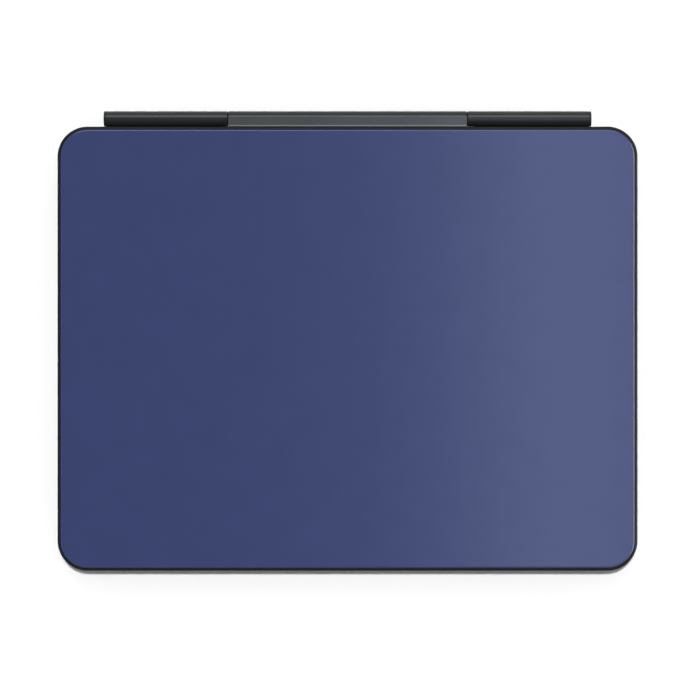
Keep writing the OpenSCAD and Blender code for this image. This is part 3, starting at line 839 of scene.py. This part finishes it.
# Each row from the rear: its keys as (node, width in units, legend)
ROWS = [
    [
        ("keys_function_row", FUNCTION_UNIT, text)
        for text in ["esc"] + [f"F{i}" for i in range(1, 13)] + ["del"]
    ],
    [("keys_number_row", 1, text) for text in "`1234567890-="]
    + [("key_backspace", 1.5, "backspace")],
    [("key_tab", 1.5, "tab")] + [("keys_upper_row", 1, text) for text in "QWERTYUIOP[]\\"],
    [("key_caps_lock", 1.75, "caps lock")]
    + [("keys_home_row", 1, text) for text in "ASDFGHJKL;'"]
    + [("key_return", 1.75, "return")],
    [("key_left_shift", 2.25, "shift")]
    + [("keys_lower_row", 1, text) for text in "ZXCVBNM,./"]
    + [("key_right_shift", 2.25, "shift")],
    [
        ("keys_bottom_row", 1, "fn"),
        ("keys_bottom_row", 1, "ctrl"),
        ("keys_bottom_row", 1, "alt"),
        ("keys_bottom_row", 1.25, "menu"),
        ("key_space", 5, ""),
        ("keys_bottom_row", 1.25, "menu"),
        ("keys_bottom_row", 1, "alt"),
    ],
]


def all_keys():
    """Every key as (node, x0, y0, x1, y1, legend), and the arrow keys last."""
    keys = []
    rear = field_high.y
    for i, row in enumerate(ROWS):
        depth = FUNCTION_D if i == 0 else UNIT
        x = field_low.x
        for node, units, legend in row:
            keys.append(
                (
                    node,
                    x + KEY_GAP / 2,
                    rear - depth + KEY_GAP / 2,
                    x + units * UNIT - KEY_GAP / 2,
                    rear - KEY_GAP / 2,
                    legend,
                )
            )
            x += units * UNIT
        rear -= depth
    middle = rear + UNIT / 2
    left = field_high.x - 3 * UNIT
    for column, upper, legend in ((0, 0, "<"), (1, 0, "v"), (2, 0, ">"), (1, 1, "^")):
        x0 = left + column * UNIT + KEY_GAP / 2
        y0 = middle + ARROW_GAP / 2 if upper else rear + KEY_GAP / 2
        y1 = rear + UNIT - KEY_GAP / 2 if upper else middle - ARROW_GAP / 2
        keys.append(("keys_arrows", x0, y0, x0 + UNIT - KEY_GAP, y1, legend))
    return keys


def between(a, b, spans):
    """The points that divide the line from a to b into equal spans."""
    shares = [i / spans for i in range(1, spans)]
    return [(a[0] + (b[0] - a[0]) * t, a[1] + (b[1] - a[1]) * t) for t in shares]


def cap_mesh(x0, y0, x1, y1):
    """A key cap: slightly tapered wall, round shoulder and a shallow dished top.

    The long sides have extra points, so that the dish is smooth on a wide key.
    """
    shoulder = 0.35 * MM
    taper = 0.12 * MM
    steps = 6
    spans = max(2, int((x1 - x0) / (2.5 * MM)))

    def loop(inset, z, dished):
        """One loop of the wall or top; dished is its share of the dish's depth."""
        radius = max(KEY_R - inset, 0.3 * MM)
        outline = rounded(x0 + inset, y0 + inset, x1 - inset, y1 - inset, radius, steps)
        rear = 2 * steps + 1
        points = outline[: rear + 1]
        points += between(outline[rear], outline[rear + 1], spans)
        points += outline[rear + 1 :]
        points += between(outline[-1], outline[0], spans)
        half_w = (x1 - x0) / 2
        across = [(x - (x0 + x1) / 2) / half_w for x, y in points]
        return [
            (x, y, z - dished * KEY_DISH * (1 - a * a))
            for (x, y), a in zip(points, across, strict=True)
        ]

    loops = [loop(0.1 * MM, KEY_LOW, 0), loop(0, KEY_LOW + 0.1 * MM, 0)]
    loops.append(loop(taper, KEY_TOP - shoulder, 0))
    for angle in (30, 60):
        a = math.radians(angle)
        inset = taper + shoulder * (1 - math.cos(a))
        loops.append(loop(inset, KEY_TOP - shoulder + shoulder * math.sin(a), 0))
    loops.append(loop(taper + shoulder, KEY_TOP, 0))
    half = min(x1 - x0, y1 - y0) / 2
    for share in (0.18, 0.36, 0.54, 0.72, 0.9):
        loops.append(loop(taper + shoulder + share * (half - 0.7 * MM), KEY_TOP, share))
    count = len(loops[-1])
    lid = []
    for i in range(count // 2 - 1):
        front = (steps - i) % count
        rear = (steps + 1 + i) % count
        lid.append((front, rear, (rear + 1) % count, (front - 1) % count))
    return loops_mesh("cap", loops, lid=lid)


def arrow_mesh(legend, x, y, z):
    """A flat triangle that points the way the legend does."""
    size = 1.1 * MM
    turn = {">": 0, "^": 90, "<": 180, "v": 270}[legend]
    points = []
    for angle in (0, 130, -130):
        a = math.radians(angle + turn)
        points.append((x + size * math.cos(a), y + size * math.sin(a), z))
    mesh = bpy.data.meshes.new("arrow")
    mesh.from_pydata(points, [], [(0, 1, 2)])
    return mesh


def text_mesh(text, x, y, z, size):
    """A flat word or letter, centred on a point."""
    curve = bpy.data.curves.new("text", "FONT")
    curve.body = text
    curve.size = size
    curve.align_x = "CENTER"
    curve.align_y = "CENTER"
    curve.extrude = 0.015 * MM
    curve.resolution_u = 3
    holder = bpy.data.objects.new("text", curve)
    holder.location = (x, y, z)
    bpy.context.scene.collection.objects.link(holder)
    bpy.context.view_layer.update()
    seen = holder.evaluated_get(bpy.context.evaluated_depsgraph_get())
    mesh = bpy.data.meshes.new_from_object(seen)
    mesh.transform(holder.matrix_world)
    bpy.data.objects.remove(holder)
    return mesh


def legend_mesh(x0, y0, x1, y1, legend):
    """The mark on a key: an arrow, a letter or a small word."""
    x = (x0 + x1) / 2
    y = (y0 + y1) / 2
    if legend in ("<", "v", ">", "^"):
        return arrow_mesh(legend, x, y, LEGEND_Z + 0.02 * MM)
    size = 4.8 if len(legend) == 1 else 2.7
    return text_mesh(legend, x, y, LEGEND_Z, size * MM)


def keyboard():
    """The caps and the legends, joined into one piece of each for every key node."""
    caps = {}
    legends = {}
    for node, x0, y0, x1, y1, legend in all_keys():
        caps.setdefault(node, []).append(cap_mesh(x0, y0, x1, y1))
        if legend:
            legends.setdefault(node, []).append(legend_mesh(x0, y0, x1, y1, legend))
    for node, meshes in caps.items():
        finished(node + "_caps", joined(node, meshes), node, "key_cap", (node,), 50)
    for node, meshes in legends.items():
        finished(node + "_legends", joined(node + "_legends", meshes), node, "legend")


def deck_plate():
    """The deck, with a well for every key and for the trackpad."""
    edge = 0.15 * MM
    holes = []
    for _, x0, y0, x1, y1, _ in all_keys():
        holes.append(
            rounded(
                x0 - WELL_GAP,
                y0 - WELL_GAP,
                x1 + WELL_GAP,
                y1 + WELL_GAP,
                KEY_R + WELL_GAP,
                5,
            )
        )
    pad_hole = rounded(
        pad_low.x - WELL_GAP,
        pad_low.y - WELL_GAP,
        pad_high.x + WELL_GAP,
        pad_high.y + WELL_GAP,
        PAD_R + WELL_GAP,
        12,
    )
    outlines = [case_outline(RIM_W + 0.05 * MM), pad_hole] + holes
    mesh = plate_mesh("deck_plate", outlines, deck_low.z, deck_high.z, edge)
    finished("deck_plate", mesh, "base", "deck", ("top_deck",), 25)


def trackpad():
    """The glass of the trackpad, with a round edge."""
    edge = 0.2 * MM

    def shape(inset):
        """The outline of the glass, moved inwards."""
        return rounded(
            pad_low.x + inset,
            pad_low.y + inset,
            pad_high.x - inset,
            pad_high.y - inset,
            PAD_R - inset,
            12,
        )

    profile = [(0, pad_low.z), (0, pad_high.z - edge)]
    profile += fillet(edge, pad_high.z - edge, edge, 180, 90, 4)[1:]
    profile += [(3 * edge, pad_high.z)]
    mesh = stack_mesh("trackpad_surface", profile, shape)
    finished(
        "trackpad_surface", mesh, "trackpad", "trackpad_glass", ("trackpad_glass",)
    )


keyboard()
deck_plate()
trackpad()


# ---------------------------------------------------------------- stage


def pale_floor():
    """A wide, nearly white floor at the height that the case stands on."""
    half = 6.0
    white = (0.985, 0.985, 0.985)
    mesh = bpy.data.meshes.new("floor")
    mesh.from_pydata(
        [(-half, -half, 0), (half, -half, 0), (half, half, 0), (-half, half, 0)],
        [],
        [(0, 1, 2, 3)],
    )
    floor = bpy.data.objects.new("floor", mesh)
    bpy.context.scene.collection.objects.link(floor)
    made, nodes, links, shader = new_material("floor")
    coords = nodes.new("ShaderNodeTexCoord")
    cloud = noise(nodes, links, coords, 3, 2)
    links.new(tint(nodes, links, cloud, white, 0.003), shader.inputs["Base Color"])
    shader.inputs["Roughness"].default_value = 0.9
    mesh.materials.append(made)


def softbox(name, across, behind, distance, size, radiance, colour=(1, 1, 1)):
    """An area light that is seen in glossy surfaces only, aimed at the case.

    Across and behind are its degrees from overhead, to the right and to the rear.
    The distance and the size are in metres.
    """
    target = Vector((0, MIDDLE_Y, COVER_TOP))
    away = Vector(
        (math.tan(math.radians(across)), math.tan(math.radians(behind)), 1)
    )
    light = bpy.data.lights.new(name, "AREA")
    light.shape = "RECTANGLE"
    light.size, light.size_y = size
    light.energy = radiance * math.pi * size[0] * size[1]
    light.color = colour
    lamp = bpy.data.objects.new(name, light)
    lamp.location = target + away.normalized() * distance
    lamp.rotation_euler = (-away).to_track_quat("-Z", "Y").to_euler()
    lamp.visible_diffuse = False
    bpy.context.scene.collection.objects.link(lamp)


def soft_sun(name, share, behind, width):
    """A sun that isn't seen in gloss; behind is its tilt to the rear in degrees.

    Share is the part of full daylight white that it gives, and width its angle.
    """
    light = bpy.data.lights.new(name, "SUN")
    light.energy = share * math.pi
    light.angle = math.radians(width)
    lamp = bpy.data.objects.new(name, light)
    lamp.rotation_euler = (math.radians(-behind), 0, 0)
    lamp.visible_glossy = False
    bpy.context.scene.collection.objects.link(lamp)


def studio_walls():
    """A world that is white round the horizon and dim overhead."""
    white_to = 0.2
    dim_from = 0.6
    world = bpy.data.worlds.new("studio")
    world.use_nodes = True
    nodes = world.node_tree.nodes
    links = world.node_tree.links
    coords = nodes.new("ShaderNodeTexCoord")
    split = nodes.new("ShaderNodeSeparateXYZ")
    links.new(coords.outputs["Generated"], split.inputs["Vector"])
    ramp = nodes.new("ShaderNodeValToRGB")
    ramp.color_ramp.elements[0].position = white_to
    ramp.color_ramp.elements[0].color = (1, 1, 1, 1)
    ramp.color_ramp.elements[1].position = dim_from
    ramp.color_ramp.elements[1].color = (0.1, 0.1, 0.1, 1)
    links.new(split.outputs["Z"], ramp.inputs["Fac"])
    links.new(ramp.outputs["Color"], nodes["Background"].inputs["Color"])
    bpy.context.scene.world = world


soft_sun("key", share=0.78, behind=10, width=4)
soft_sun("rear_fill", share=0.09, behind=37, width=44)
studio_walls()
softbox("rear_box", 0, 39, distance=2.4, size=(1.8, 1.1), radiance=4.6)
softbox("right_box", 60, 0, distance=2.0, size=(2.0, 2.0), radiance=7.0)
softbox(
    "gloss_strip",
    9.9,
    0,
    distance=0.964,
    size=(0.8, 0.12),
    radiance=3.2,
    colour=(0.86, 0.95, 1.3),
)


def photo_camera():
    """Looks straight down, with the case a little left of and above the middle."""
    lens = 200
    sensor = 36
    seen_w = 340.1 * MM
    aim_x = 1.19 * MM
    aim_y = MIDDLE_Y - 0.61 * MM
    camera_data = bpy.data.cameras.new("camera")
    camera_data.lens = lens
    camera_data.sensor_width = sensor
    camera_data.clip_end = 20
    camera = bpy.data.objects.new("camera", camera_data)
    height = COVER_TOP + seen_w * lens / sensor
    camera.location = (aim_x, aim_y, height)
    bpy.context.scene.collection.objects.link(camera)
    bpy.context.scene.camera = camera


pale_floor()
photo_camera()
bpy.context.scene.view_settings.view_transform = "Standard"
